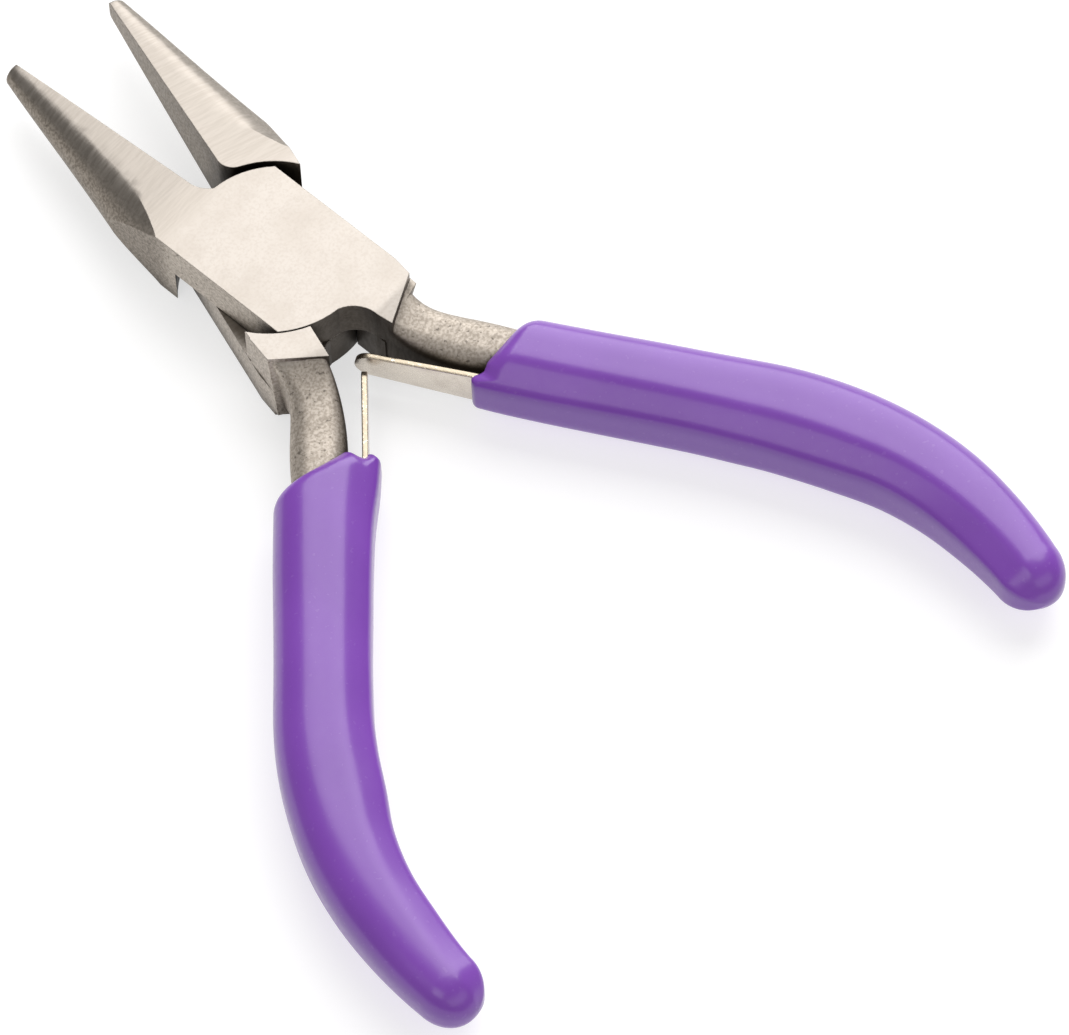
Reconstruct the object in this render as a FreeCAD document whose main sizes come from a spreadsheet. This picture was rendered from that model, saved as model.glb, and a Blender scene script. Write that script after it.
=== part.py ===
import FreeCAD, Part
import math
import os

import Sketcher

# Small spring-opened pliers with slim half-round jaws, modelled lying flat.
# Millimetres and degrees. The pivot pin stands on +Z, the jaws point along +Y and
# the origin is where the pin's axis meets the plane that the pliers lie on.
# Both levers come from one forging. It is drawn closed, with its middle plane on XY,
# its half-thick plate above that plane, its jaw on the -X side and its handle on the
# +X side. Lever b is the same forging turned over about Y.

DIMENSIONS = {
    "opening": 9.5,            # each lever's angle from closed, with the springs relaxed
    "half_thick": 4.4,         # middle plane to the flat faces of the head
    "lap_gap": 0.1,            # between the two plates
    "face_gap": 0.03,          # jaw face to the middle of the closed jaws
    # jaws
    "jaw_length": 34.2,        # pin axis to jaw tip
    "jaw_taper_start": 9.5,    # where the jaw is still as thick as the head
    "tip_half_thick": 1.3,
    "slope_step": 0.01,        # plate below the jaw's sloping flat where they overlap
    "jaw_root": 5.0,           # sections of the jaw: place, width and width of its flats
    "jaw_root_width": 9.9,
    "jaw_root_flat": 8.5,
    "jaw_corner": 8.6,
    "jaw_corner_width": 8.8,
    "jaw_corner_flat": 6.75,
    "jaw_base": 12.0,
    "jaw_base_width": 7.75,
    "jaw_base_flat": 4.9,
    "jaw_middle": 17.0,
    "jaw_middle_width": 6.25,
    "jaw_middle_flat": 3.15,
    "jaw_slim": 25.5,
    "jaw_slim_width": 3.9,
    "jaw_slim_flat": 1.6,
    "tip_width": 1.65,
    "tip_flat": 0.4,
    "tip_round": 0.45,         # rounding round the jaw's end
    # head
    "head_half_width": 6.7,
    "plate_corner": 5.7,       # where the plate's side meets the edge by the other jaw
    "plate_edge_radius": 9.2,  # that edge, which passes the other jaw's shoulder
    "plate_heel_radius": 9.8,  # plate edge that passes the other lever's block
    "shoulder_radius": 9.4,    # step behind the jaw
    "shoulder_round": 1.8,     # rounded inner corner of that step
    "shoulder_side": 8.0,      # the step is cut this far out, past the head's side
    "block_radius": 9.95,      # hollow in the block that the other plate turns in
    "side_flat_end": 8.6,      # where the jaw starts to round the head's corner off
    "crotch_start": 11.0,
    "crotch_width": 1.0,
    "crotch_depth": 8.45,
    "crotch_radius": 3.0,
    "arch_width": 1.0,         # inner side of the block from the middle line
    "arch_start": 13.0,
    "arch_end": 1.0,
    "arch_radius": 3.3,
    "inner_end_x": 1.2,        # inner end of the slanted line where the flats stop
    "inner_end_y": 14.65,
    "outer_end_y": 12.1,       # outer end of that line
    "heel_x": 6.4,
    "block_inner_x": 1.0,      # the same line on the block's own face
    "block_inner_y": 13.7,
    "block_outer_x": 6.3,
    "block_outer_y": 11.2,
    "heel_inner": 3.0,         # the corner that leans out from the block to the plate
    "heel_back": 10.6,
    "heel_side_start": 8.2,
    "heel_block_inner_y": 12.76,
    "heel_plate_inner_y": 13.8,
    "heel_plate_x": 6.45,
    "heel_plate_y": 12.9,
    "heel_high": 3.3,
    # pin
    "pin_radius": 2.4,
    "pin_head_radius": 3.4,
    "pin_head_depth": 1.0,
    "pin_cover": 1.2,          # steel left over the blind end of the pin
    "pin_clearance": 0.04,
    # handle path and the bar that follows it
    "path_x": 5.05,
    "path_y": -18.77,
    "heading": 27.4,
    "straight": 30.5,
    "bend_radius": 42.0,
    "shank_x": 3.5,            # section where the bar leaves the block
    "shank_y": 12.35,
    "shank_turn": 25.0,
    "shank_inner": 2.55,
    "shank_outer": 2.85,
    "shank_half_high": 4.2,
    "shank_round": 0.6,
    "neck_x": 3.7,             # section between the block and the path
    "neck_y": 15.6,
    "neck_turn": 20.0,
    "neck_inner": 2.4,
    "neck_outer": 2.45,
    "neck_half_high": 2.75,
    "neck_round": 1.5,
    "bar_width": 5.4,
    "bar_half_high": 2.45,
    "bar_round": 2.0,
    "bar_end_width": 4.2,
    "bar_end_half_high": 2.1,
    "bar_length": 61.0,
    # dipped sleeve
    "wall": 1.55,              # sleeve around the bar
    "spring_side": 2.1,        # inner wall where it also wraps the spring's root
    "flare_a": 0.3,            # extra on that wall at the mouth, round the leaf
    "flare_b": 1.2,
    "flare_end": 16.0,
    "palm": 34.0,              # where the sleeve starts to slim towards its end
    "slim": 48.0,
    "slim_side": 0.05,         # what each side and each face has lost by there
    "slim_face": 0.15,
    "late": 55.0,
    "late_side": 0.35,
    "late_face": 0.5,
    "end_side": 0.85,
    "end_face": 0.95,
    "root_side": 0.5,
    "sleeve_start": 3.0,
    "sleeve_length": 65.3,
    "sleeve_half_high": 4.1,
    "sleeve_round": 2.8,
    "cap_depth": 3.2,
    "mouth_clear_x": 14.75,    # past the sleeve's outer side
    "mouth_outer_x": 12.7,
    "mouth_outer_y": -24.4,
    "mouth_inner_x": 3.9,
    "mouth_inner_y": -24.0,
    "mouth_lip_x": 1.2,
    "mouth_lip_y": -24.9,
    # leaf springs
    "leaf_thick": 0.6,
    "leaf_half_high": 2.1,
    "leaf_tip_half_high": 1.6,
    "leaf_a_aside": 3.9,       # leaf to the middle of the bar, at the sleeve's mouth
    "leaf_b_aside": 4.45,
    "leaf_hinge": 2.6,         # where the blade starts to bend, along the path
    "leaf_gap": 0.1,
    "root_settle": 15.0,       # along the path, where the leaf has come in to the bar
    "root_aside": 3.25,
    "root_end": 42.0,
    "blade_a_length": 11.2,    # reaches past the other blade
    "blade_b_length": 9.5,     # stops against it
}
# where the bar's sections stand, as shares of its length
BAR_SHARES = (0, 0.07, 0.28, 0.5, 0.66, 0.82)
# where the sections of a jaw's rounded tip stand, as shares of the rounding
TIP_SHARES = (0, 0.5, 0.8, 0.95, 1)
# where the closing sections of a sleeve's domed end stand, as shares of its depth
CAP_SHARES = (0, 0.35, 0.65, 0.86, 0.97)
# an arc over a half circle's chord has to be just wider than the half circle
ARC_SLACK = 1.0001


class Size:
    """A size from the sheet: its value now and the expression that drives it."""

    def __init__(self, value, text):
        self.value = float(value)
        self.text = text

    def joined(self, sign, other, value):
        return Size(value, f"({self.text} {sign} {other.text})")

    def __add__(self, other):
        other = size(other)
        return self.joined("+", other, self.value + other.value)

    def __sub__(self, other):
        other = size(other)
        return self.joined("-", other, self.value - other.value)

    def __mul__(self, other):
        other = size(other)
        return self.joined("*", other, self.value * other.value)

    def __truediv__(self, other):
        other = size(other)
        return self.joined("/", other, self.value / other.value)

    def __neg__(self):
        return Size(-self.value, f"(-1 * {self.text})")


def size(amount):
    """A Size from a dimension's name, a plain number or a Size."""
    if isinstance(amount, Size):
        return amount
    if isinstance(amount, str):
        return Size(DIMENSIONS[amount], f"Dims.{amount}")
    return Size(amount, f"{amount:.6f}")


def sine(angle):
    return Size(math.sin(math.radians(angle.value)), f"sin({angle.text})")


def cosine(angle):
    return Size(math.cos(math.radians(angle.value)), f"cos({angle.text})")


def on_circle(radius, x):
    """Distance along Y to a circle about the pin, at distance x."""
    radius, x = size(radius), size(x)
    value = math.sqrt(radius.value ** 2 - x.value ** 2)
    return Size(value, f"sqrt({radius.text} ^ 2 - {x.text} ^ 2)")


def make_sheet(doc):
    sheet = doc.addObject("Spreadsheet::Sheet", "Dims")
    for row, (alias, value) in enumerate(DIMENSIONS.items(), start=1):
        sheet.set(f"A{row}", alias.replace("_", " "))
        sheet.set(f"B{row}", str(value))
        sheet.setAlias(f"B{row}", alias)
    doc.recompute()


def new_body(doc, label):
    body = doc.addObject("PartDesign::Body", label)
    body.Label = label
    return body


def new_sketch(body, name, role, x=0, up=0, turn=0):
    """Sketch on one of the body's own planes, moved along that plane's x and normal."""
    sketch = body.newObject("Sketcher::SketchObject", name)
    plane = next(p for p in body.Origin.OriginFeatures if p.Role == role)
    sketch.AttachmentSupport = [(plane, "")]
    sketch.MapMode = "FlatFace"
    x, up, turn = size(x), size(up), size(turn)
    spin = FreeCAD.Rotation(FreeCAD.Vector(0, 1, 0), turn.value or 1.0)
    sketch.AttachmentOffset = FreeCAD.Placement(FreeCAD.Vector(x.value, 0, up.value), spin)
    sketch.setExpression("AttachmentOffset.Base.x", x.text)
    sketch.setExpression("AttachmentOffset.Base.z", up.text)
    sketch.setExpression("AttachmentOffset.Rotation.Angle", turn.text)
    return sketch


def pin_point(sketch, geometry, end, x, y):
    """Hold a point of the sketch at x and y from the sketch's origin."""
    for kind, amount in (("DistanceX", x), ("DistanceY", y)):
        rule = Sketcher.Constraint(kind, -1, 1, geometry, end, amount.value)
        index = sketch.addConstraint(rule)
        sketch.setExpression(f"Constraints[{index}]", amount.text)


def arc_between(start, end, radius, turn):
    """Arc under half a circle; turn is 1 for anticlockwise and -1 for clockwise."""
    chord = end - start
    across = FreeCAD.Vector(-chord.y, chord.x, 0).normalize()
    rise = math.sqrt(max(radius ** 2 - (chord.Length / 2) ** 2, 0))
    centre = start + chord * 0.5 + across * rise * turn
    first, last = (start, end) if turn > 0 else (end, start)
    circle = Part.Circle(centre, FreeCAD.Vector(0, 0, 1), radius)
    angles = [math.atan2(p.y - centre.y, p.x - centre.x) for p in (first, last)]
    return Part.ArcOfCircle(circle, angles[0], angles[1])


def draw_outline(sketch, corners, arcs=None):
    """Closed outline through the corners. arcs maps a side's number to its
    (radius, turn); every other side is straight."""
    arcs = arcs or {}
    corners = [(size(x), size(y)) for x, y in corners]
    points = [FreeCAD.Vector(x.value, y.value, 0) for x, y in corners]
    sides = []
    for i, start in enumerate(points):
        end = points[(i + 1) % len(points)]
        if i in arcs:
            radius, turn = size(arcs[i][0]), arcs[i][1]
            side = sketch.addGeometry(arc_between(start, end, radius.value, turn))
            sides.append((side, 1, 2) if turn > 0 else (side, 2, 1))
        else:
            sides.append((sketch.addGeometry(Part.LineSegment(start, end)), 1, 2))
    for i, (side, first, last) in enumerate(sides):
        pin_point(sketch, side, first, *corners[i])
        following = sides[(i + 1) % len(sides)]
        sketch.addConstraint(
            Sketcher.Constraint("Coincident", side, last, following[0], following[1])
        )
        if i in arcs:
            radius = size(arcs[i][0])
            index = sketch.addConstraint(Sketcher.Constraint("Radius", side, radius.value))
            sketch.setExpression(f"Constraints[{index}]", radius.text)


def draw_rounded_bar(sketch, inner, outer, half_high, corner):
    """Rounded rectangle from -inner to outer across, and half_high up and down."""
    inner, outer, half_high, corner = map(size, (inner, outer, half_high, corner))
    left, right, top = -inner, outer, half_high
    corners = [
        (left + corner, -top), (right - corner, -top),
        (right, corner - top), (right, top - corner),
        (right - corner, top), (left + corner, top),
        (left, top - corner), (left, corner - top),
    ]
    draw_outline(sketch, corners, {i: (corner, 1) for i in (1, 3, 5, 7)})


def draw_circle(sketch, radius):
    radius = size(radius)
    circle = Part.Circle(FreeCAD.Vector(), FreeCAD.Vector(0, 0, 1), radius.value)
    ring = sketch.addGeometry(circle)
    sketch.addConstraint(Sketcher.Constraint("Coincident", ring, 3, -1, 1))
    index = sketch.addConstraint(Sketcher.Constraint("Radius", ring, radius.value))
    sketch.setExpression(f"Constraints[{index}]", radius.text)


def extrude(body, kind, sketch, length, midplane=False, reverse=False):
    """Pad or Pocket of a sketch, along its normal unless reversed."""
    feature = body.newObject(f"PartDesign::{kind}", f"{sketch.Name}_{kind}")
    feature.Profile = sketch
    feature.Length = size(length).value
    feature.setExpression("Length", size(length).text)
    feature.Midplane = midplane
    feature.Reversed = reverse
    return feature


def loft(body, kind, sections, ruled=False):
    feature = body.newObject(f"PartDesign::{kind}", f"{sections[0].Name}_{kind}")
    feature.Profile = sections[0]
    feature.Sections = sections[1:]
    feature.Ruled = ruled
    return feature


def handle_point(run, aside=0):
    """x, y and heading on the handle's path, run along it and aside towards the
    other handle. The path is straight and then bends back."""
    run, aside = size(run), size(aside)
    heading, straight = size("heading"), size("straight")
    along = run if run.value <= straight.value else straight
    x = size("path_x") + along * sine(heading)
    y = size("path_y") - along * cosine(heading)
    now = heading
    if run.value > straight.value:
        bend = size("bend_radius")
        now = heading - (run - straight) / bend * (180 / math.pi)
        x = x + bend * (cosine(now) - cosine(heading))
        y = y - bend * (sine(heading) - sine(now))
    return x - aside * cosine(now), y - aside * sine(now), now


def section_across(body, name, run):
    """Sketch across the handle's path."""
    x, y, heading = handle_point(run)
    return new_sketch(body, name, "XZ_Plane", x=x, up=-y, turn=heading)


def jaw_half_thick(y):
    """Half of the jaw's thickness, which falls evenly from the head to the tip."""
    length, start = size("jaw_length"), size("jaw_taper_start")
    slope = (size("half_thick") - size("tip_half_thick")) / (length - start)
    return size("tip_half_thick") + (length - size(y)) * slope


def draw_half_round(sketch, width, half_high, flat):
    """Jaw section: flat face at x = 0, flat above and below, rounded outside."""
    width, half_high, flat = size(width), size(half_high), size(flat)
    bulge = width - flat
    radius = (half_high * half_high + bulge * bulge) / (bulge * 2)
    face = -size("face_gap")
    corners = [(face, half_high), (-flat, half_high), (-flat, -half_high), (face, -half_high)]
    draw_outline(sketch, corners, {1: (radius * ARC_SLACK, 1)})


def add_plate(body):
    """Half-thick plate of the head, with the flat that runs on to the handle."""
    side, heel = size("head_half_width"), size("plate_heel_radius")
    sketch = new_sketch(body, "Plate", "XY_Plane", up=size("lap_gap") / 2)
    face = -size("face_gap")
    corners = [
        (side, "plate_corner"),
        ("crotch_width", "crotch_depth"),
        (face, "crotch_start"),
        (-side, "side_flat_end"),
        (-side, -on_circle(heel, side)),
        (-size("arch_end"), -on_circle(heel, "arch_end")),
        ("arch_width", -size("arch_start")),
        ("inner_end_x", -size("inner_end_y")),
        ("heel_x", -size("outer_end_y")),
        (side, -size("block_radius")),
    ]
    arcs = {
        0: ("plate_edge_radius", 1),
        1: ("crotch_radius", -1),
        4: (heel, 1),
        5: ("arch_radius", -1),
    }
    draw_outline(sketch, corners, arcs)
    extrude(body, "Pad", sketch, size("half_thick") - size("lap_gap") / 2)
    slope = new_sketch(body, "Plate_slope", "YZ_Plane")
    start, end = size("jaw_taper_start"), size("jaw_middle")
    high, low = (jaw_half_thick(y) - "slope_step" for y in (start, end))
    draw_outline(slope, [(start, high), (end, low), (end, side), (start, side)])
    extrude(body, "Pocket", slope, side * 4, midplane=True)


def add_jaw(body):
    """Half-round jaw, flattened to the head's side and faces, with the step that
    clears the other plate."""
    sections = []
    for y in ("jaw_root", "jaw_corner", "jaw_base", "jaw_middle", "jaw_slim"):
        section = new_sketch(body, y + "_section", "XZ_Plane", up=-size(y))
        draw_half_round(section, f"{y}_width", jaw_half_thick(y), f"{y}_flat")
        sections.append(section)
    tip_sections = []
    for i, share in enumerate(TIP_SHARES):
        y = size("jaw_length") - size("tip_round") * (1 - share)
        inset = size("tip_round") * (1 - math.sqrt(1 - share ** 2))
        section = new_sketch(body, f"Tip_{i}", "XZ_Plane", up=-y)
        width = size("tip_width") - inset
        draw_half_round(section, width, size("tip_half_thick") - inset, "tip_flat")
        tip_sections.append(section)
    loft(body, "AdditiveLoft", sections + tip_sections[:1])
    loft(body, "AdditiveLoft", tip_sections, ruled=True)

    reach, side = size("jaw_length"), size("head_half_width")
    clear = side * 3
    trim = new_sketch(body, "Side_trim", "XY_Plane")
    draw_outline(trim, [(-side, 0), (-side, reach), (-clear, reach), (-clear, 0)])
    extrude(body, "Pocket", trim, clear, midplane=True)
    for name, height, reverse in (("Top_trim", 1, True), ("Under_trim", -1, False)):
        trim = new_sketch(body, name, "XY_Plane", up=size("half_thick") * height)
        draw_outline(trim, [(side, 0), (side, reach), (-clear, reach), (-clear, 0)])
        extrude(body, "Pocket", trim, "half_thick", reverse=reverse)
    add_shoulder(body)


def add_shoulder(body):
    """Cut below the plate, round the pin, up to the step behind the jaw."""
    step, rounding = size("shoulder_radius"), size("shoulder_round")
    side = size("shoulder_side")
    face = -size("face_gap")
    centre_y = on_circle(step + rounding, rounding - face)
    scale = step / (step + rounding)
    sketch = new_sketch(body, "Shoulder", "XY_Plane", up=size("lap_gap") / 2)
    corners = [
        (face, centre_y),
        ((face - rounding) * scale, centre_y * scale),
        (-side, on_circle(step, side)),
        (-side, -side),
        (side, -side),
        (side, centre_y),
    ]
    draw_outline(sketch, corners, {0: (rounding, -1), 1: (step, 1)})
    extrude(body, "Pocket", sketch, size("half_thick") * 2)


def add_block(body):
    """Lower half of the block behind the pin, hollowed for the other plate, with its
    heel."""
    side, hollow = size("head_half_width"), size("block_radius")
    sketch = new_sketch(body, "Block", "XY_Plane", up=size("lap_gap"))
    corners = [
        (side, -on_circle(hollow, side)),
        ("arch_width", -on_circle(hollow, "arch_width")),
        ("block_inner_x", -size("block_inner_y")),
        ("block_outer_x", -size("block_outer_y")),
    ]
    draw_outline(sketch, corners, {0: (hollow, -1)})
    extrude(body, "Pad", sketch, size("half_thick") + "lap_gap", reverse=True)
    outlines = []
    for name, up, inner_y, x, y in (
        ("Heel_block", -size("half_thick"), "heel_block_inner_y", "block_outer_x", "block_outer_y"),
        ("Heel_plate", "heel_high", "heel_plate_inner_y", "heel_plate_x", "heel_plate_y"),
    ):
        outline = new_sketch(body, name, "XY_Plane", up=up)
        corners = [
            (side, -size("heel_side_start")),
            ("heel_inner", -size("heel_back")),
            ("heel_inner", -size(inner_y)),
            (x, -size(y)),
        ]
        draw_outline(outline, corners)
        outlines.append(outline)
    loft(body, "AdditiveLoft", outlines, ruled=True)


def bar_sections(body):
    """Sections of the handle's bar: from the block it narrows and follows the path."""
    sections = []
    for name in ("shank", "neck"):
        x, y, turn = size(f"{name}_x"), size(f"{name}_y"), size(f"{name}_turn")
        section = new_sketch(body, f"Bar_{name}", "XZ_Plane", x=x, up=y, turn=turn)
        inner, outer = size(f"{name}_inner"), size(f"{name}_outer")
        draw_rounded_bar(section, inner, outer, f"{name}_half_high", f"{name}_round")
        sections.append(section)
    half = size("bar_width") / 2
    for i, share in enumerate(BAR_SHARES):
        section = section_across(body, f"Bar_{i}", size("bar_length") * share)
        draw_rounded_bar(section, half, half, "bar_half_high", "bar_round")
        sections.append(section)
    last = section_across(body, "Bar_end", "bar_length")
    end_half = size("bar_end_width") / 2
    draw_rounded_bar(last, end_half, end_half, "bar_end_half_high", "bar_round")
    return sections + [last]


def add_bar(body):
    loft(body, "AdditiveLoft", bar_sections(body))


def add_bore(body, radius, depth):
    """Round hole for the pin, up from the plate's lap face."""
    sketch = new_sketch(body, "Bore", "XY_Plane")
    draw_circle(sketch, radius)
    extrude(body, "Pocket", sketch, depth, reverse=True)


def turn_about_pin(body, kind, sketch):
    """Revolution or Groove of a sketch on the XZ plane, all the way round the pin."""
    feature = body.newObject(f"PartDesign::{kind}", f"{sketch.Name}_{kind}")
    feature.Profile = sketch
    feature.ReferenceAxis = (sketch, ["V_Axis"])
    feature.Angle = 360
    return feature


def make_lever(doc, label):
    body = new_body(doc, label)
    add_plate(body)
    add_jaw(body)
    add_block(body)
    add_bar(body)
    return body


def make_lever_a(doc):
    """Upper lever: its bore is blind, so its flat face shows no pin."""
    body = make_lever(doc, "lever_a")
    add_bore(body, "pin_radius", size("half_thick") - "pin_cover")
    return body


def make_lever_b(doc):
    """Lower lever: it turns on the pin, whose head sits flush in its flat face."""
    body = make_lever(doc, "lever_b")
    clearance = size("pin_clearance")
    add_bore(body, size("pin_radius") + clearance, size("half_thick") * 2)
    sketch = new_sketch(body, "Countersink", "XZ_Plane")
    top, low = size("half_thick"), size("half_thick") - "pin_head_depth" - clearance
    wide = size("pin_head_radius") + clearance
    corners = [(0, low), (size("pin_radius"), low), (wide, top), (0, top)]
    draw_outline(sketch, corners)
    turn_about_pin(body, "Groove", sketch)
    return body


def make_pin(doc):
    """Pin with a countersunk head, standing on its head."""
    body = new_body(doc, "pivot_pin")
    sketch = new_sketch(body, "Profile", "XZ_Plane")
    bottom, top = -size("half_thick"), size("half_thick") - "pin_cover" - "lap_gap"
    radius, edge = size("pin_radius"), size("lap_gap") * 2
    corners = [
        (0, bottom), ("pin_head_radius", bottom),
        (radius, bottom + "pin_head_depth"),
        (radius, top - edge), (radius - edge, top), (0, top),
    ]
    draw_outline(sketch, corners)
    turn_about_pin(body, "Revolution", sketch)
    return body


def draw_strip(sketch, aside):
    """Leaf's root seen from above. It comes in to the bar and then follows it."""
    start, end = size("leaf_hinge") + size("leaf_gap") / 2, size("root_end")
    settle, straight, bend = size("root_settle"), size("straight"), size("bend_radius")
    half, aside, settled = size("leaf_thick") / 2, size(aside), size("root_aside")
    near, far = settled - half, settled + half
    ends = [
        (start, aside + half), (settle, far), (straight, far), (end, far),
        (end, near), (straight, near), (settle, near), (start, aside - half),
    ]
    corners = [handle_point(run, offset)[:2] for run, offset in ends]
    draw_outline(sketch, corners, {2: (bend - far, -1), 4: (bend - near, 1)})


def make_leaf_root(doc, label, aside):
    """Part of a leaf spring that the sleeve holds against the bar."""
    body = new_body(doc, label)
    sketch = new_sketch(body, "Strip", "XY_Plane")
    draw_strip(sketch, aside)
    extrude(body, "Pad", sketch, size("leaf_half_high") * 2, midplane=True)
    return body


def make_blade(doc, label, length):
    """Free blade of a leaf spring: a tongue with a round end, along its own +X."""
    body = new_body(doc, label)
    sketch = new_sketch(body, "Tongue", "XZ_Plane")
    start, high, low = size("leaf_gap") / 2, size("leaf_half_high"), size("leaf_tip_half_high")
    end = size(length) - low
    corners = [(start, -high), (end, -low), (end, low), (start, high)]
    draw_outline(sketch, corners, {1: (low * ARC_SLACK, 1)})
    extrude(body, "Pad", sketch, "leaf_thick", midplane=True)
    return body


def sleeve_section(body, name, run, inner, outer, half_high, scale=1):
    """Section of the sleeve, shrunk evenly by scale where it closes over the bar's end."""
    sketch = section_across(body, name, run)
    inner, outer, half_high = inner * scale, outer * scale, half_high * scale
    draw_rounded_bar(sketch, inner, outer, half_high, size("sleeve_round") * scale)
    return sketch


def make_sleeve(doc, label, aside, flare):
    """Sleeve dipped over the bar and the spring's root, thicker on the spring's side
    as far as that root reaches, with a domed end."""
    body = new_body(doc, label)
    half, high = size("bar_width") / 2, size("sleeve_half_high")
    side, spring = half + "wall", half + "spring_side"
    stations = [
        ("sleeve_start", spring + flare, side, high),
        ("flare_end", spring, side, high),
        ("palm", spring, side, high),
        ("root_end", spring - "root_side", side, high),
        ("slim", side - "slim_side", side - "slim_side", high - "slim_face"),
        ("late", side - "late_side", side - "late_side", high - "late_face"),
    ]
    cap = size("cap_depth")
    end = (side - "end_side", side - "end_side", high - "end_face")
    stations.append((size("sleeve_length") - cap, *end))
    sections = [
        sleeve_section(body, f"Sleeve_{i}", *station) for i, station in enumerate(stations)
    ]
    loft(body, "AdditiveLoft", sections)
    cap_sections = []
    for i, share in enumerate(CAP_SHARES):
        run = size("sleeve_length") - cap * (1 - share)
        scale = math.sqrt(1 - share ** 2)
        cap_sections.append(sleeve_section(body, f"Cap_{i}", run, *end, scale))
    loft(body, "AdditiveLoft", cap_sections, ruled=True)
    cut_mouth(body)
    loft(body, "SubtractiveLoft", bar_sections(body))
    slot = new_sketch(body, "Slot", "XY_Plane")
    draw_strip(slot, aside)
    extrude(body, "Pocket", slot, size("leaf_half_high") * 2, midplane=True)
    return body


def cut_mouth(body):
    """Trim the sleeve's open end to the slant of a dipped edge, with a square lip
    round the leaf."""
    mouth = new_sketch(body, "Mouth", "XY_Plane")
    corners = [
        ("mouth_outer_x", "mouth_outer_y"), ("mouth_clear_x", "mouth_outer_y"),
        ("mouth_clear_x", "path_y"),
        (-size("mouth_lip_x"), "path_y"), (-size("mouth_lip_x"), "mouth_lip_y"),
        ("mouth_lip_x", "mouth_lip_y"), ("mouth_inner_x", "mouth_inner_y"),
    ]
    draw_outline(mouth, corners)
    extrude(body, "Pocket", mouth, size("sleeve_half_high") * 4, midplane=True)


def side_placement(side):
    """Where a lever's own frame lies: side is 1 for lever a and -1 for lever b."""
    up = FreeCAD.Vector(0, 0, DIMENSIONS["half_thick"])
    axis = FreeCAD.Vector(0, 0, 1)
    swing = FreeCAD.Rotation(axis, DIMENSIONS["opening"] * side)
    flip = FreeCAD.Rotation(FreeCAD.Vector(0, 1, 0), 0 if side > 0 else 180)
    return FreeCAD.Placement(up, swing * flip)


def blade_placement(side, aside):
    """Where a blade's own frame lies: at the end of its root, in line with it."""
    x, y, heading = handle_point("leaf_hinge", aside)
    line = FreeCAD.Rotation(FreeCAD.Vector(0, 0, 1), 90 + heading.value)
    return side_placement(side) * FreeCAD.Placement(FreeCAD.Vector(x.value, y.value, 0), line)


def check(doc, parts):
    for item in doc.Objects:
        faults = {"Invalid", "Error"} & set(item.State)
        if faults:
            raise RuntimeError(f"{item.Name} is {', '.join(faults)}")
    for part in parts:
        if part.Shape.isNull() or not part.Shape.isValid():
            raise RuntimeError(f"{part.Label} has no valid shape")
        print(part.Label, "solids", len(part.Shape.Solids), "volume", round(part.Shape.Volume, 1))


def main():
    doc = FreeCAD.newDocument("pliers")
    make_sheet(doc)
    placed = [
        (make_lever_a(doc), side_placement(1)),
        (make_lever_b(doc), side_placement(-1)),
        (make_pin(doc), side_placement(1)),
    ]
    for letter, side in (("a", 1), ("b", -1)):
        aside = f"leaf_{letter}_aside"
        root = make_leaf_root(doc, f"leaf_root_{letter}", aside)
        blade = make_blade(doc, f"leaf_spring_{letter}", f"blade_{letter}_length")
        sleeve = make_sleeve(doc, f"grip_{letter}", aside, f"flare_{letter}")
        placed.append((root, side_placement(side)))
        placed.append((blade, blade_placement(side, aside)))
        placed.append((sleeve, side_placement(side)))
    for part, placement in placed:
        part.Placement = placement
    doc.recompute()
    parts = [part for part, placement in placed]
    check(doc, parts)
    os.makedirs("parts", exist_ok=True)
    for part in parts:
        part.Shape.exportStep(f"parts/{part.Label}.step")


main()
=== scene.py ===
import math

import bmesh
import bpy
import numpy as np
from mathutils import Matrix, Vector


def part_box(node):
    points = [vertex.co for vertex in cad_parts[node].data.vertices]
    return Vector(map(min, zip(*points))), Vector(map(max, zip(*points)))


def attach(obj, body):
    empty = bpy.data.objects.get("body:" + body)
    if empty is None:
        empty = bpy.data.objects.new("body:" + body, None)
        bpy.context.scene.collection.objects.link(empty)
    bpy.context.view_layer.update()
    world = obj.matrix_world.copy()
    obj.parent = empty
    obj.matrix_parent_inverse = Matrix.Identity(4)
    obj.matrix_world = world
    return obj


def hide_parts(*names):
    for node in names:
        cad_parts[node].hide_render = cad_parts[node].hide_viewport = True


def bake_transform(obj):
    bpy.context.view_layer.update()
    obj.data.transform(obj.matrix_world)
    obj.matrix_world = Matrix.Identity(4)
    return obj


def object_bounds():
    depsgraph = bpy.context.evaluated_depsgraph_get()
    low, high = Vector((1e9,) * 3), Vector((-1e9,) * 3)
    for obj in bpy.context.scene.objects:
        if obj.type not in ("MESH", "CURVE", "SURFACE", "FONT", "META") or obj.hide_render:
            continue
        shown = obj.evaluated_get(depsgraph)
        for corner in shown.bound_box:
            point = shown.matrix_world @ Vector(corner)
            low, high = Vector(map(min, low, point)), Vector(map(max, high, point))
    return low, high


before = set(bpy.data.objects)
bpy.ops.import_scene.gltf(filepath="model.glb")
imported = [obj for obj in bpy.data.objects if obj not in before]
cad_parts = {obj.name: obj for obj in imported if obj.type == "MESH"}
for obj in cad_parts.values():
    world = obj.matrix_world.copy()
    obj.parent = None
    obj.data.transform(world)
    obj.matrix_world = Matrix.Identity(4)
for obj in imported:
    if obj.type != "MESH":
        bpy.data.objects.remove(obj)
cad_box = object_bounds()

# Looks of the spring-opened pliers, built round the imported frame. Sizes are in
# millimetres and degrees unless a name says otherwise; MM turns them into metres.
# A lever's own drawing has its handle on +X; side is 1 for lever a and -1 for
# lever b, which is the same drawing turned over about Y.
MM = 0.001
HALF_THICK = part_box("lever_a")[1].z / MM / 2
OPENING = 9.5

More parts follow.
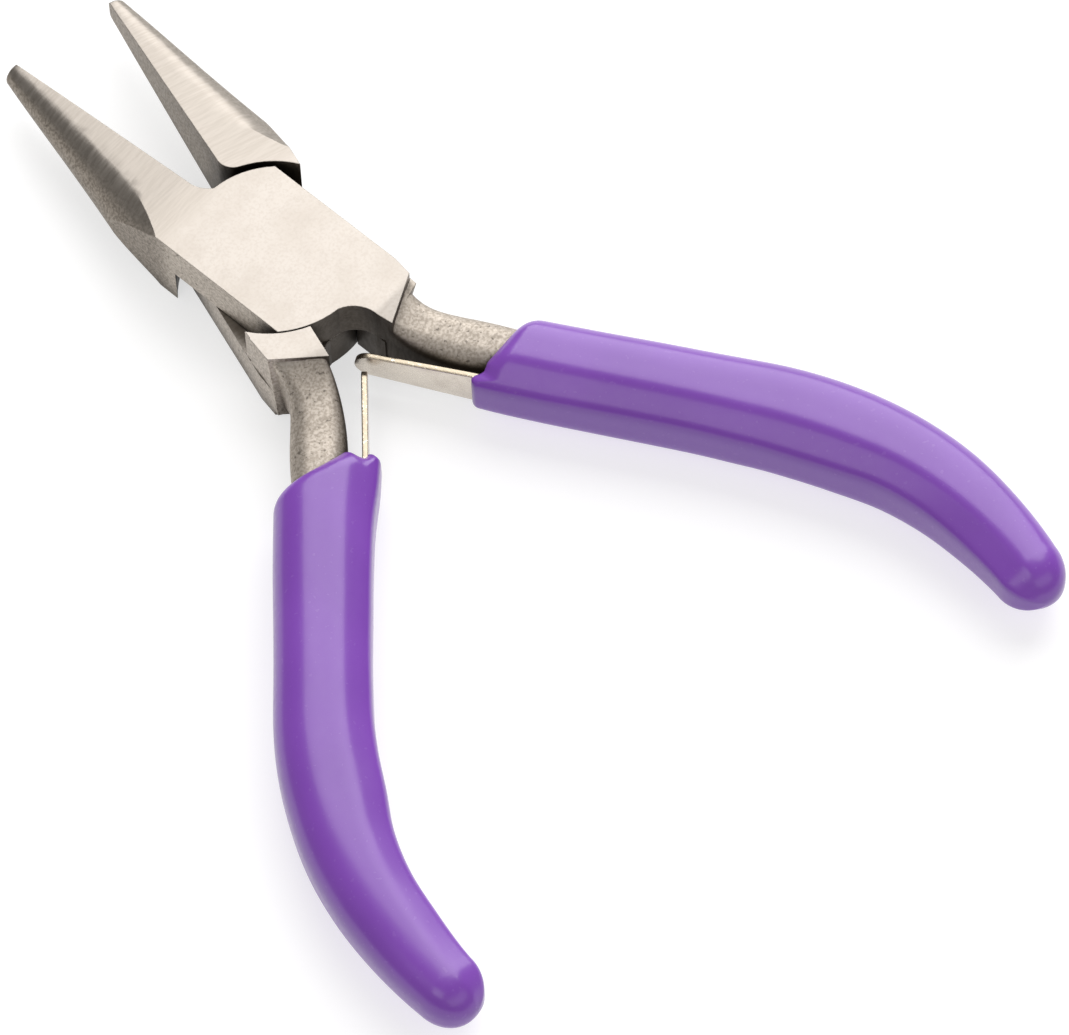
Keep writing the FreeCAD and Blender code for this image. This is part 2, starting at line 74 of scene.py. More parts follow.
# handle path: straight, then bending back
PATH_START = (5.05, -18.77)
HEADING = 27.4
STRAIGHT = 30.5
BEND_RADIUS = 42.0
BAR = dict(flat_across=0.7, flat_up=0.45, corner=2.0)

# leaf springs
LEAF = dict(thick=0.6, half_high=2.1, tip_half_high=1.6, edge=0.12)
LEAF_HINGE = 2.6
ROOT_SETTLE = 15.0
ROOT_ASIDE = 3.25
ROOT_END = 42.0
BEND_LENGTH = 3.0
LEAVES = {"a": dict(aside=3.9, length=11.2), "b": dict(aside=4.45, length=9.5)}

# dipped sleeves: (run, outer half-width, inner half-width) along the handle
SLEEVE_END = 65.3
SLEEVE_DOME = 4.0
SLEEVE_WIDTHS = {
    "a": (
        (3, 3.6, 5.1), (6, 3.7, 5.2), (10, 3.8, 5.2), (15, 3.95, 5.1), (20, 4.15, 5.0),
        (25, 4.3, 4.95), (30, 4.5, 5.1), (35, 4.6, 5.2), (40, 4.65, 4.95),
        (45, 4.6, 4.35), (50, 4.4, 4.0), (55, 3.95, 3.8), (61.3, 3.4, 3.4),
    ),
    "b": (
        (3, 4.2, 5.95), (6, 4.3, 5.75), (10, 4.4, 5.25), (15, 4.5, 4.97), (20, 4.5, 4.85),
        (25, 4.52, 4.75), (30, 4.6, 4.8), (35, 4.6, 4.95), (40, 4.5, 4.95),
        (45, 4.4, 4.35), (50, 4.1, 4.0), (55, 3.7, 3.9), (61.3, 3.25, 3.4),
    ),
}
SLEEVE_HEIGHTS = ((3, 4.0), (10, 4.1), (34, 4.1), (48, 3.95), (55, 3.6), (61.3, 3.15))
# where the vinyl starts: (distance across, run), and how fast its wall builds up
MOUTHS = {
    "a": ((-2.75, 6.65), (2.2, 4.1), (3.4, 4.0), (4.1, 3.0)),
    "b": ((-2.75, 6.9), (2.4, 3.05), (4.3, 3.9), (4.7, 3.15)),
}
MOUTH_RAMP = 1.9
LIP_RAMP = 0.7
MOUTH_DEPTH = 1.0
RIM_START = 0.14


def radians(angle):
    return math.radians(angle)


def handle_point(run, aside=0.0):
    """x, y and heading in radians on the handle's path, aside towards the other handle."""
    heading = radians(HEADING)
    along = min(run, STRAIGHT)
    x = PATH_START[0] + along * math.sin(heading)
    y = PATH_START[1] - along * math.cos(heading)
    now = heading
    if run > STRAIGHT:
        now = heading - (run - STRAIGHT) / BEND_RADIUS
        x += BEND_RADIUS * (math.cos(now) - math.cos(heading))
        y -= BEND_RADIUS * (math.sin(heading) - math.sin(now))
    return x - aside * math.cos(now), y - aside * math.sin(now), now


def placed(side, x, y, up):
    """Point of a lever's own drawing in the row frame, in metres."""
    flipped = Vector((x * side, y, up * side))
    swing = Matrix.Rotation(radians(OPENING * side), 3, "Z")
    return (swing @ flipped + Vector((0, 0, HALF_THICK))) * MM


def on_handle(side, run, aside, up):
    x, y, _ = handle_point(run, aside)
    return placed(side, x, y, up)


def smooth_step(low, high, at):
    share = min(max((at - low) / (high - low), 0), 1)
    return share * share * (3 - 2 * share)


def smooth_line(points, at):
    """Smooth curve through (place, value) points, flat beyond its ends."""
    places = [p[0] for p in points]
    values = [p[1] for p in points]
    if at <= places[0]:
        return values[0]
    if at >= places[-1]:
        return values[-1]
    slopes = np.gradient(values, places)
    i = int(np.searchsorted(places, at, side="right")) - 1
    gap = places[i + 1] - places[i]
    t = (at - places[i]) / gap
    return (
        values[i] * (2 * t**3 - 3 * t**2 + 1)
        + values[i + 1] * (3 * t**2 - 2 * t**3)
        + slopes[i] * gap * (t**3 - 2 * t**2 + t)
        + slopes[i + 1] * gap * (t**3 - t**2)
    )


def new_object(name, mesh):
    piece = bpy.data.objects.new(name, mesh)
    bpy.context.scene.collection.objects.link(piece)
    return piece


def tube(name, rings):
    """Closed mesh through rings of equal length, with a fan over each end."""
    mesh = bpy.data.meshes.new(name)
    shape = bmesh.new()
    rows = [[shape.verts.new(p) for p in ring] for ring in rings]
    count = len(rows[0])
    for row, following in zip(rows, rows[1:]):
        for k in range(count):
            j = (k + 1) % count
            shape.faces.new((row[k], row[j], following[j], following[k]))
    for row in (rows[0], rows[-1]):
        centre = shape.verts.new(sum((v.co for v in row), Vector()) / count)
        for k in range(count):
            shape.faces.new((row[k], row[(k + 1) % count], centre))
    bmesh.ops.recalc_face_normals(shape, faces=shape.faces)
    shape.to_mesh(mesh)
    shape.free()
    mesh.shade_smooth()
    return new_object(name, mesh)


# ---------------------------------------------------------------- materials

# share of open sky that counts as shut in, and as open
SHELTERED = (0.28, 0.85)


class Shader:
    """Node material whose steps are added with short calls."""

    def __init__(self, name):
        self.material = bpy.data.materials.new(name)
        self.material.use_nodes = True
        self.nodes = self.material.node_tree.nodes
        self.links = self.material.node_tree.links
        self.surface = self.nodes["Principled BSDF"]
        self.place = self.nodes.new("ShaderNodeTexCoord").outputs["Object"]

    def link(self, source, target):
        if isinstance(source, bpy.types.NodeSocket):
            self.links.new(source, target)
        else:
            target.default_value = source

    def stretched(self, across, along, up, turn=0.0):
        """Object coordinates turned about Z, then scaled, in cycles per millimetre."""
        mapping = self.nodes.new("ShaderNodeMapping")
        mapping.vector_type = "TEXTURE"
        mapping.inputs["Rotation"].default_value = (0, 0, radians(turn))
        mapping.inputs["Scale"].default_value = (MM / across, MM / along, MM / up)
        self.links.new(self.place, mapping.inputs["Vector"])
        return mapping.outputs["Vector"]

    def noise(self, vector, detail=3.0, roughness=0.5):
        node = self.nodes.new("ShaderNodeTexNoise")
        node.inputs["Scale"].default_value = 1.0
        node.inputs["Detail"].default_value = detail
        node.inputs["Roughness"].default_value = roughness
        self.links.new(vector, node.inputs["Vector"])
        return node.outputs["Fac"]

    def ramp(self, value, low, high, start=0.0, end=1.0):
        node = self.nodes.new("ShaderNodeMapRange")
        node.interpolation_type = "SMOOTHSTEP"
        for socket, amount in zip(node.inputs, (value, low, high, start, end)):
            self.link(amount, socket)
        return node.outputs["Result"]

    def maths(self, operation, first, second=0.0):
        node = self.nodes.new("ShaderNodeMath")
        node.operation = operation
        self.link(first, node.inputs[0])
        self.link(second, node.inputs[1])
        return node.outputs["Value"]

    def mix(self, share, first, second):
        node = self.nodes.new("ShaderNodeMix")
        node.data_type = "RGBA"
        self.link(share, node.inputs["Factor"])
        self.link((*first, 1) if isinstance(first, tuple) else first, node.inputs["A"])
        self.link((*second, 1) if isinstance(second, tuple) else second, node.inputs["B"])
        return node.outputs["Result"]

    def flatness(self):
        """1 where the surface faces straight up or down the pin, 0 on the sides."""
        normal = self.nodes.new("ShaderNodeTexCoord").outputs["Normal"]
        split = self.nodes.new("ShaderNodeSeparateXYZ")
        self.links.new(normal, split.inputs["Vector"])
        return self.maths("ABSOLUTE", split.outputs["Z"])

    def lever_place(self, turn):
        """Millimetres along a lever that lies turned about the pin, and from its middle plane."""
        split = self.nodes.new("ShaderNodeSeparateXYZ")
        self.links.new(self.stretched(1, 1, 1, turn), split.inputs["Vector"])
        above = self.maths("SUBTRACT", split.outputs["Z"], HALF_THICK)
        return split.outputs["Y"], self.maths("ABSOLUTE", above)

    def distance(self, x, y):
        """Millimetres from the upright line through this place."""
        node = self.nodes.new("ShaderNodeVectorMath")
        node.operation = "DISTANCE"
        self.links.new(self.stretched(1, 1, 0.001), node.inputs[0])
        node.inputs[1].default_value = (x, y, 0)
        return node.outputs["Value"]

    def shelter(self, reach):
        """0 in corners that are closed in within reach, in millimetres, and 1 in the open."""
        node = self.nodes.new("ShaderNodeAmbientOcclusion")
        node.samples = 8
        node.inputs["Distance"].default_value = reach * MM
        return self.ramp(node.outputs["AO"], *SHELTERED)

    def eased(self, edge):
        """The surface's normal, with its edges rounded over this many millimetres."""
        node = self.nodes.new("ShaderNodeBevel")
        node.samples = 6
        node.inputs["Radius"].default_value = edge * MM
        return node.outputs["Normal"]

    def bump(self, layers, normal=None):
        """Bumps on one another: (height, distance in millimetres, strength)."""
        for height, distance, strength in layers:
            node = self.nodes.new("ShaderNodeBump")
            node.inputs["Distance"].default_value = distance * MM
            node.inputs["Strength"].default_value = strength
            self.link(height, node.inputs["Height"])
            if normal is not None:
                self.links.new(normal, node.inputs["Normal"])
            normal = node.outputs["Normal"]
        self.links.new(normal, self.surface.inputs["Normal"])

    def set(self, **values):
        for name, value in values.items():
            socket = self.surface.inputs[name.replace("_", " ")]
            self.link((*value, 1) if isinstance(value, tuple) else value, socket)


# along Y: the shank's matt finish ends, and the jaw's cross grinding starts
SHANK_BLEND = (-13.2, -12.0)
JAW_BLEND = (6.5, 9.5)
# how near the outer faces a level surface must lie to count as one of the head's flats
FLAT_DEPTH = (1.2, 0.4)
# painted shade: corners closed in within this many millimetres are darkened
CORNER_SHADE_REACH = 5.0
# painted shade darkens the walls between the shanks, fading out from this place over this reach
THROAT = (1.0, -14.0)
THROAT_REACH = (9.5, 5.5)
# edges are eased over this much
EDGE = 0.12
STEEL = {
    "ground": ((0.350, 0.320, 0.290), (0.322, 0.291, 0.260)),
    "ground_speck": (0.295, 0.265, 0.235),
    "brushed": ((0.27, 0.243, 0.215), (0.34, 0.308, 0.275)),
    "side": ((0.36, 0.318, 0.270), (0.54, 0.485, 0.424)),
    "jaw_side": ((0.20, 0.172, 0.142), (0.34, 0.300, 0.256)),
    "shank": ((0.36, 0.317, 0.270), (0.52, 0.467, 0.410)),
    # painted shade for the walls between the shanks
    "throat_shade": (0.055, 0.043, 0.033),
    "pit": (0.09, 0.076, 0.062),
    # painted shade for closed-in corners
    "corner": (0.035, 0.027, 0.020),
}


def steel_zones(shader, turn):
    """Masks of a lever's surface: ground, polished, head, jaw, and the throat walls that get
    painted shade.
    """
    upright = shader.flatness()
    along, off_middle = shader.lever_place(turn)
    outermost = shader.ramp(off_middle, *(HALF_THICK - depth for depth in FLAT_DEPTH))
    level = shader.maths("MULTIPLY", shader.ramp(upright, 0.990, 0.999), outermost)
    head = shader.ramp(along, *SHANK_BLEND)
    jaw = shader.ramp(along, *JAW_BLEND)
    reached = shader.maths("MAXIMUM", head, level)
    flat = shader.maths("MULTIPLY", shader.ramp(upright, 0.55, 0.97), reached)
    polished = shader.maths("MULTIPLY", level, shader.ramp(jaw, 0, 1, 1, 0))
    walls = shader.ramp(upright, 0.35, 0.75, 0.85, 0.0)
    near = shader.ramp(shader.distance(*THROAT), *THROAT_REACH)
    return flat, polished, head, jaw, shader.maths("MULTIPLY", near, walls)


def steel_colour(shader, zones, lines, grain, pits):
    """Pale on the ground flats, duller and speckled on the sides, with painted shade darkening the
    corners and the walls between the shanks.
    """
    flat, polished, head, jaw, throat_shade = zones
    cloud = shader.noise(shader.stretched(0.30, 0.30, 0.30), detail=4.0)
    ground = shader.mix(shader.ramp(cloud, 0.35, 0.75), *STEEL["ground"])
    ground = shader.mix(shader.ramp(grain, 0.4, 0.7, 0, 0.5), ground, STEEL["ground_speck"])
    brushed = shader.mix(shader.ramp(lines, 0.2, 1.4), *STEEL["brushed"])
    ground = shader.mix(polished, brushed, ground)
    speckle = shader.ramp(grain, 0.35, 0.65)
    side, jaw_side, shank = (
        shader.mix(speckle, *STEEL[zone]) for zone in ("side", "jaw_side", "shank")
    )
    forged = shader.mix(head, shank, shader.mix(jaw, side, jaw_side))
    # painted shade: the walls near the throat are darkened
    forged = shader.mix(throat_shade, forged, STEEL["throat_shade"])
    forged = shader.mix(shader.maths("MULTIPLY", pits, 0.6), forged, STEEL["pit"])
    # painted shade: the colour goes near black where the ambient occlusion finds the corner closed
    # in
    forged = shader.mix(shader.shelter(CORNER_SHADE_REACH), STEEL["corner"], forged)
    return shader.mix(flat, forged, ground)


def steel(name, brush_turn):
    """Ground tool steel: pale flats, cross-ground jaws, duller sides and a matt shank."""
    shader = Shader(name)
    zones = steel_zones(shader, brush_turn)
    flat, polished, head = zones[:3]
    brush = shader.noise(shader.stretched(0.12, 3.4, 0.8, brush_turn), detail=5.0)
    cross = shader.noise(shader.stretched(0.18, 2.4, 0.6, brush_turn + 16), detail=4.0)
    lines = shader.maths("ADD", shader.ramp(brush, 0.3, 0.7), shader.ramp(cross, 0.35, 0.7, 0, 0.6))
    grain = shader.noise(shader.stretched(3.6, 3.6, 3.6), detail=4.0)
    pits = shader.ramp(shader.noise(shader.stretched(2.2, 2.2, 2.2), detail=2.0), 0.62, 0.72)
    pits = shader.maths("MULTIPLY", pits, shader.ramp(flat, 0, 1, 1.0, 0.12))
    rough = shader.ramp(flat, 0, 1, 0.50, 0.36)
    rough = shader.maths("ADD", rough, shader.ramp(head, 0, 1, 0.12, 0.0))
    scored = shader.ramp(polished, 0, 1, 1, 0.2)
    streaks = shader.maths("MULTIPLY", shader.ramp(lines, 0.2, 1.4, -0.04, 0.04), scored)
    shader.set(
        Base_Color=steel_colour(shader, zones, lines, grain, pits),
        Metallic=1.0,
        Roughness=shader.maths("ADD", rough, streaks),
    )
    scores = shader.maths("MULTIPLY", lines, shader.maths("MULTIPLY", flat, scored))
    dents = shader.maths("MULTIPLY", grain, shader.ramp(flat, 0, 1, 1.0, 0.10))
    shader.bump([(scores, 0.006, 0.3), (dents, 0.012, 0.4), (pits, -0.02, 0.3)], shader.eased(EDGE))
    return shader.material


def spring_steel(name):
    """Bright rolled strip, with lines along the leaf and small nicks on its edges."""
    shader = Shader(name)
    lines = shader.noise(shader.stretched(6.0, 0.3, 6.0, 10), detail=3.0)
    stain = shader.noise(shader.stretched(0.5, 0.5, 0.5), detail=3.0)
    nicks = shader.ramp(shader.noise(shader.stretched(3.0, 3.0, 3.0), detail=1.0), 0.6, 0.7)
    colour = shader.mix(shader.ramp(stain, 0.35, 0.7), (0.72, 0.66, 0.58), (0.62, 0.56, 0.49))
    edge = shader.ramp(shader.flatness(), 0.5, 0.9)
    worn = shader.mix(shader.ramp(nicks, 0, 1), (0.34, 0.29, 0.22), (0.55, 0.49, 0.40))
    colour = shader.mix(edge, colour, worn)
    shader.set(
        Base_Color=colour,
        Metallic=1.0,
        Roughness=shader.ramp(lines, 0.3, 0.7, 0.22, 0.34),
    )
    shader.bump([(lines, 0.008, 0.4), (nicks, 0.02, 0.3)])
    return shader.material


def turned_steel(name):
    """Pin: rings from the lathe round its own axis."""
    shader = Shader(name)
    split = shader.nodes.new("ShaderNodeSeparateXYZ")
    shader.links.new(shader.stretched(1.0, 1.0, 1.0), split.inputs["Vector"])
    across = shader.maths("MULTIPLY", split.outputs["X"], split.outputs["X"])
    along = shader.maths("MULTIPLY", split.outputs["Y"], split.outputs["Y"])
    radius = shader.maths("SQRT", shader.maths("ADD", across, along))
    rings = shader.maths("SINE", shader.maths("MULTIPLY", radius, 40.0))
    grain = shader.noise(shader.stretched(2.0, 2.0, 2.0))
    colour = shader.mix(shader.ramp(grain, 0.35, 0.65), (0.62, 0.58, 0.53), (0.74, 0.70, 0.64))
    shader.set(Base_Color=colour, Metallic=1.0, Roughness=shader.ramp(grain, 0.3, 0.7, 0.24, 0.36))
    shader.bump([(rings, 0.006, 0.4)])
    return shader.material


def vinyl(name):
    """Dipped vinyl: glossy, with slow waves from the dip, faint dust under the skin and painted
    shade on its sides.
    """
    shader = Shader(name)
    waves = shader.noise(shader.stretched(0.09, 0.09, 0.09), detail=1.0)
    skin = shader.noise(shader.stretched(1.6, 1.6, 1.6), detail=2.0)
    dust = shader.ramp(shader.noise(shader.stretched(2.6, 2.6, 2.6), detail=0.0), 0.76, 0.80)
    tone = shader.mix(shader.ramp(waves, 0.3, 0.7), (0.188, 0.047, 0.405), (0.210, 0.055, 0.445))
    # painted shade: darker where the vinyl faces sideways than on its top and underside
    tone = shader.mix(shader.ramp(shader.flatness(), 0.1, 0.6), (0.155, 0.036, 0.350), tone)
    shader.set(
        Base_Color=shader.mix(shader.maths("MULTIPLY", dust, 0.15), tone, (0.34, 0.18, 0.56)),
        Roughness=shader.ramp(skin, 0.3, 0.7, 0.30, 0.36),
        Coat_Weight=0.4,
        Coat_Roughness=0.16,
    )
    shader.bump([(waves, 0.35, 0.25), (skin, 0.01, 0.25), (dust, 0.01, 0.3)])
    return shader.material


def paint(piece, material):
    piece.data.materials.clear()
    piece.data.materials.append(material)


# ---------------------------------------------------------------- levers

# faces that meet at more than this many degrees keep a sharp edge
SHARP = 16
WELD = 0.012
ON_PLANE = 0.002
# the jaw's taper starts here along Y, and grinding blends it in over this much each way
TAPER_START = 9.5
TAPER_SLOPE = 0.1255
TAPER_BLEND = 2.4
TAPER_STEPS = 8


def lever_frame(side):
    """From a lever's own drawing, in metres, to where the lever lies."""
    swing = Matrix.Rotation(radians(OPENING * side), 4, "Z")
    return Matrix.Translation((0, 0, HALF_THICK * MM)) @ swing @ Matrix.Diagonal((side, 1, side, 1))


def clean_copy(node):
    """The node's faces, welded along their seams."""
    shape = bmesh.new()
    corners = [shape.verts.new(v.co) for v in node.data.vertices]
    for polygon in node.data.polygons:
        shape.faces.new([corners[i] for i in polygon.vertices])
    bmesh.ops.remove_doubles(shape, verts=shape.verts, dist=WELD * MM)
    return shape


def blend_taper(shape):
    """Round the crease where the head's flats turn into the jaw's taper."""
    for y in np.linspace(-TAPER_BLEND, TAPER_BLEND, TAPER_STEPS + 1):
        bmesh.ops.bisect_plane(
            shape,
            geom=[*shape.verts, *shape.edges, *shape.faces],
            dist=ON_PLANE * MM,
            plane_co=(0, (TAPER_START + y) * MM, 0),
            plane_no=(0, 1, 0),
        )
    for vertex in shape.verts:
        past = vertex.co.y / MM - TAPER_START
        if abs(past) < TAPER_BLEND:
            sharp = HALF_THICK - TAPER_SLOPE * max(past, 0)
            smooth = HALF_THICK - TAPER_SLOPE * (past + TAPER_BLEND) ** 2 / (4 * TAPER_BLEND)
            vertex.co.z *= smooth / sharp
    bmesh.ops.remove_doubles(shape, verts=shape.verts, dist=ON_PLANE * MM)


def make_lever(letter, side, material):
    """The forging, with its head's flats running smoothly into its jaw."""
    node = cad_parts[f"lever_{letter}"]
    mesh = bpy.data.meshes.new(f"forging_{letter}")
    shape = clean_copy(node)
    place = lever_frame(side)
    shape.transform(place.inverted())
    blend_taper(shape)
    shape.transform(place)
    bmesh.ops.recalc_face_normals(shape, faces=shape.faces)
    shape.to_mesh(mesh)
    shape.free()
    mesh.shade_smooth()
    mesh.set_sharp_from_angle(angle=radians(SHARP))
    piece = new_object(f"forging_{letter}", mesh)
    weighted = piece.modifiers.new("flat_faces", "WEIGHTED_NORMAL")
    weighted.keep_sharp = True
    paint(piece, material)
    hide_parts(node.name)
    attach(piece, f"lever_{letter}_body")


# ---------------------------------------------------------------- springs

def leaf_aside(aside, run):
    """The leaf stands off the bar at the mouth and comes in to it inside the sleeve."""
    return aside + (ROOT_ASIDE - aside) * smooth_step(LEAF_HINGE, ROOT_SETTLE, run)


def leaf_half_high(run, tip, length):
    """Half of the strip's height: parallel, then tapering to a round end."""
    low, high = LEAF["tip_half_high"], LEAF["half_high"]
    from_tip = run - tip
    straight = length - low
    width = high + (low - high) * min(max((length - from_tip) / straight, 0), 1)
    if from_tip < low:
        width *= math.sqrt(max(1 - (1 - from_tip / low) ** 2, 0))
    return width


def leaf_ring(side, run, aside, half_high):
    """Section of the strip: flat faces and rounded edges."""
    half = LEAF["thick"] / 2
    edge = min(LEAF["edge"], half_high * 0.9)
    corners = ((half, half_high), (-half, half_high), (-half, -half_high), (half, -half_high))
    points = []
    for i, (across, up) in enumerate(corners):
        centre = (across - math.copysign(edge, across), up - math.copysign(edge, up))
        for step in range(4):
            angle = radians(90 * i + 30 * step)
            offset = (math.cos(angle) * edge, math.sin(angle) * edge)
            points.append(
                on_handle(side, run, aside + centre[0] + offset[0], centre[1] + offset[1])
            )
    return points


def make_leaf(letter, side, material):
    """One strip from its root in the sleeve to its free round end."""
    sizes = LEAVES[letter]
    tip = LEAF_HINGE - sizes["length"]
    round_part = [tip + LEAF["tip_half_high"] * (1 - math.cos(radians(a))) for a in range(6, 90, 6)]
    rest = np.linspace(tip + LEAF["tip_half_high"], ROOT_SETTLE, 60)
    inside = np.linspace(ROOT_SETTLE, ROOT_END, 30)[1:]
    rings = []
    for run in [*round_part, *rest, *inside]:
        half_high = leaf_half_high(run, tip, sizes["length"])
        rings.append(leaf_ring(side, run, leaf_aside(sizes["aside"], run), half_high))
    piece = tube(f"spring_leaf_{letter}", rings)
    piece.data.set_sharp_from_angle(angle=radians(50))
    paint(piece, material)
    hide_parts(f"leaf_root_{letter}", f"leaf_spring_{letter}")
    start = on_handle(side, LEAF_HINGE + 0.3, sizes["aside"], 0)
    end = on_handle(side, LEAF_HINGE - BEND_LENGTH, sizes["aside"], 0)
    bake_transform(piece)


# ---------------------------------------------------------------- sleeves

RING_POINTS = 128
OUTER_SQUARE = 2.6
INNER_SQUARE = 3.8
# flat from the bar's top to the leaf: its slope, its distance out and how it grows
BEVEL_TILT = 30
BEVEL_REACH = 4.6
BEVEL_WIDTH = 5.0
BEVEL_FOLLOWS = 0.35
BEVEL_SOFT = 26
FULL_HEIGHT = 4.1
# the mouth's lower corner beside the leaf starts later
LOW_CORNER = dict(down=(1.5, 2.3), across=(3.6, 4.2), later=0.6)
LIP_ACROSS = (3.2, 4.2)
UNDER_SKIN = 0.04
LEAST_FACING = 0.05
ROLL_STEPS = 14
BODY_STEPS = 120
DOME_STEP = 5


def hull_radii(angles, leaf_face):
    """Distance from the bar's middle to the outline round the bar and the leaf."""
    normals = np.radians(np.arange(-180, 180, 1.0))
    cosine, sine = np.cos(normals), np.sin(normals)
    bar = BAR["flat_across"] * abs(cosine) + BAR["flat_up"] * abs(sine) + BAR["corner"]
    leaf = leaf_face * cosine + LEAF["half_high"] * abs(sine)
    support = np.maximum(bar, leaf)
    facing = np.cos(normals[None, :] - angles[:, None])
    reach = support[None, :] / np.maximum(facing, LEAST_FACING)
    reach = np.where(facing > LEAST_FACING, reach, np.inf)
    return reach.min(axis=1)


def sleeve_radius(angle, outer, inner, high):
    """Distance to the vinyl's skin: a soft square, flattened from the bar to the leaf."""
    across, up = math.cos(angle), abs(math.sin(angle))
    wide, square = (inner, INNER_SQUARE) if across > 0 else (outer, OUTER_SQUARE)
    radius = ((abs(across) / wide) ** square + (up / high) ** square) ** (-1 / square)
    if across > 0:
        tilt = radians(BEVEL_TILT)
        wider = inner / BEVEL_WIDTH * BEVEL_FOLLOWS + 1 - BEVEL_FOLLOWS
        reach = BEVEL_REACH * high / FULL_HEIGHT * wider
        bevel = reach / (across * math.sin(tilt) + up * math.cos(tilt))
        radius = (radius**-BEVEL_SOFT + bevel**-BEVEL_SOFT) ** (-1 / BEVEL_SOFT)
    return radius


def mouth_start(letter, across, up):
    """Run at which the vinyl starts, from how far across and up its edge lies."""
    start = float(np.interp(across, *zip(*MOUTHS[letter])))
    low = MOUTHS[letter][0]
    if across < low[0]:
        start = low[1]
    corner = smooth_step(*LOW_CORNER["down"], -up) * smooth_step(*LOW_CORNER["across"], across)
    return start + LOW_CORNER["later"] * corner


def sleeve_skin(letter, angle, run):
    """Distance from the bar's middle to the vinyl's outside, closing over the dome."""
    at = min(run, SLEEVE_END - SLEEVE_DOME)
    outer = [(place, out) for place, out, _ in SLEEVE_WIDTHS[letter]]
    inner = [(place, into) for place, _, into in SLEEVE_WIDTHS[letter]]
    sizes = (smooth_line(line, at) for line in (outer, inner, SLEEVE_HEIGHTS))
    radius = sleeve_radius(angle, *sizes)
    if run > at:
        radius *= math.sqrt(max(1 - ((run - at) / SLEEVE_DOME) ** 2, 0))
    return radius


def make_sleeve(letter, side, material):
    """Vinyl over the bar and the spring's root, from its rolled mouth to its dome."""
    angles = np.linspace(0, 2 * math.pi, RING_POINTS, endpoint=False)
    leaf_face = LEAVES[letter]["aside"] + LEAF["thick"] / 2
    core = hull_radii(angles, leaf_face) - UNDER_SKIN
    starts, ramps = [], []
    for angle, radius in zip(angles, core):
        across, up = radius * math.cos(angle), radius * math.sin(angle) * side
        starts.append(mouth_start(letter, across, up))
        ramps.append(MOUTH_RAMP + (LIP_RAMP - MOUTH_RAMP) * smooth_step(*LIP_ACROSS, across))

    def ring(runs, radii):
        return [
            on_handle(side, run, radius * math.cos(angle), radius * math.sin(angle))
            for angle, run, radius in zip(angles, runs, radii)
        ]

    def skin_ring(runs):
        return ring(runs, [sleeve_skin(letter, angle, run) for angle, run in zip(angles, runs)])

    rings = [
        ring([start + depth for start in starts], core)
        for depth in (MOUTH_DEPTH, MOUTH_DEPTH * 0.5, 0.0)
    ]
    for step in range(ROLL_STEPS + 1):
        turn = radians(90) * (RIM_START + (1 - RIM_START) * step / ROLL_STEPS)
        runs = [start + ramp * (1 - math.cos(turn)) for start, ramp in zip(starts, ramps)]
        rings.append(ring(runs, [
            radius + (sleeve_skin(letter, angle, run) - radius) * math.sin(turn)
            for angle, run, radius in zip(angles, runs, core)
        ]))
    dome = SLEEVE_END - SLEEVE_DOME
    for share in np.linspace(0, 1, BODY_STEPS)[1:]:
        rings.append(skin_ring([
            (start + ramp) * (1 - share) + dome * share for start, ramp in zip(starts, ramps)
        ]))
    for turn in range(DOME_STEP, 90, DOME_STEP):
        rings.append(skin_ring([dome + SLEEVE_DOME * math.sin(radians(turn))] * RING_POINTS))
    piece = tube(f"vinyl_grip_{letter}", rings)
    paint(piece, material)
    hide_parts(f"grip_{letter}")
    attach(piece, f"lever_{letter}_body")


# ---------------------------------------------------------------- stage

def softbox(name, direction, distance, size, radiance):
    """Area light that faces the object's middle. Distance and size are in metres."""
    light = bpy.data.lights.new(name, "AREA")
    light.shape = "RECTANGLE"
    light.size, light.size_y = size
    light.energy = radiance * math.pi * size[0] * size[1]
    lamp = bpy.data.objects.new(name, light)
    bpy.context.scene.collection.objects.link(lamp)
    away = Vector(direction).normalized()
    lamp.location = middle + away * distance
    lamp.rotation_mode = "QUATERNION"
    lamp.rotation_quaternion = away.to_track_quat("Z", "Y")


# half of the floor's side, in metres
FLOOR_HALF = 3.0


def make_floor():
    """Pale floor, which glows a little so that shadows on it stay faint."""
    mesh = bpy.data.meshes.new("floor")
    corners = [(x * FLOOR_HALF, y * FLOOR_HALF, 0) for x, y in ((-1, -1), (1, -1), (1, 1), (-1, 1))]
    mesh.from_pydata(corners, [], [(0, 1, 2, 3)])
    floor = new_object("floor", mesh)
    shader = Shader("floor")
    shader.set(
        Base_Color=(0.45, 0.45, 0.45),
        Roughness=0.9,
        Emission_Color=(1.0, 1.0, 1.0),
        Emission_Strength=0.64,
    )
    mesh.materials.append(shader.material)


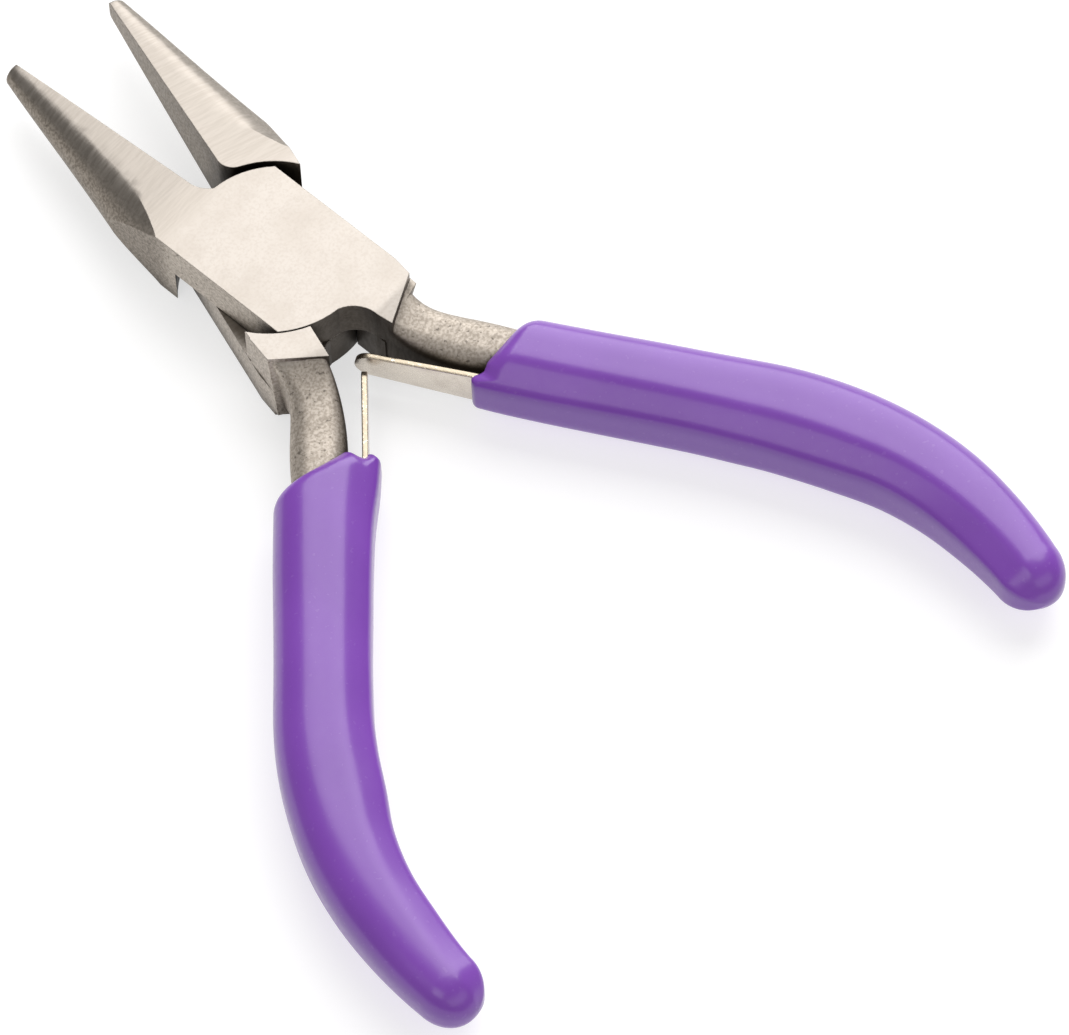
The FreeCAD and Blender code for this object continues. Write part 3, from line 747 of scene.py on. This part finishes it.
# azimuth and elevation, roll, distance in metres, lens in millimetres, aim in metres
CAMERA_BACK = (-36.0, 60.13)
CAMERA_ROLL = -2.67
CAMERA_DISTANCE = 0.7991
CAMERA_LENS = 285.8
CAMERA_AIM = (0.0024, -0.0374, 0.0044)


def make_camera():
    azimuth, elevation = (radians(a) for a in CAMERA_BACK)
    back = Vector((
        math.sin(azimuth) * math.cos(elevation),
        -math.cos(azimuth) * math.cos(elevation),
        math.sin(elevation),
    ))
    data = bpy.data.cameras.new("camera")
    data.lens = CAMERA_LENS
    data.sensor_width = 36
    data.clip_start = 0.01
    camera = bpy.data.objects.new("camera", data)
    bpy.context.scene.collection.objects.link(camera)
    right = Vector((math.cos(azimuth), math.sin(azimuth), 0))
    above = back.cross(right)
    roll = radians(CAMERA_ROLL)
    across = right * math.cos(roll) + above * math.sin(roll)
    turn = Matrix((across, back.cross(across), back)).transposed()
    place = Vector(CAMERA_AIM) + back * CAMERA_DISTANCE
    camera.matrix_world = Matrix.Translation(place) @ turn.to_4x4()
    bpy.context.scene.camera = camera


def make_light():
    world = bpy.data.worlds.new("studio")
    world.use_nodes = True
    sky = world.node_tree.nodes["Background"].inputs
    sky["Color"].default_value = (1.0, 0.985, 0.965, 1)
    sky["Strength"].default_value = 0.34
    bpy.context.scene.world = world
    bpy.context.scene.view_settings.view_transform = "Standard"
    softbox("key", (0.59, 0.47, 0.66), 0.8, (0.82, 1.0), 3.2)
    softbox("fill", (-0.50, -0.18, 0.85), 0.8, (0.36, 0.36), 1.7)
    softbox("front", (0.0, -0.78, 0.62), 0.9, (0.9, 0.4), 0.9)


middle = (cad_box[0] + cad_box[1]) / 2

make_camera()
make_light()
make_floor()

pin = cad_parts["pivot_pin"]
paint(pin, turned_steel("pin_steel"))
leaf_steel = spring_steel("spring_steel")
purple = vinyl("purple_vinyl")
for letter, side in (("a", 1), ("b", -1)):
    make_lever(letter, side, steel(f"ground_steel_{letter}", OPENING * side))
    make_leaf(letter, side, leaf_steel)
    make_sleeve(letter, side, purple)
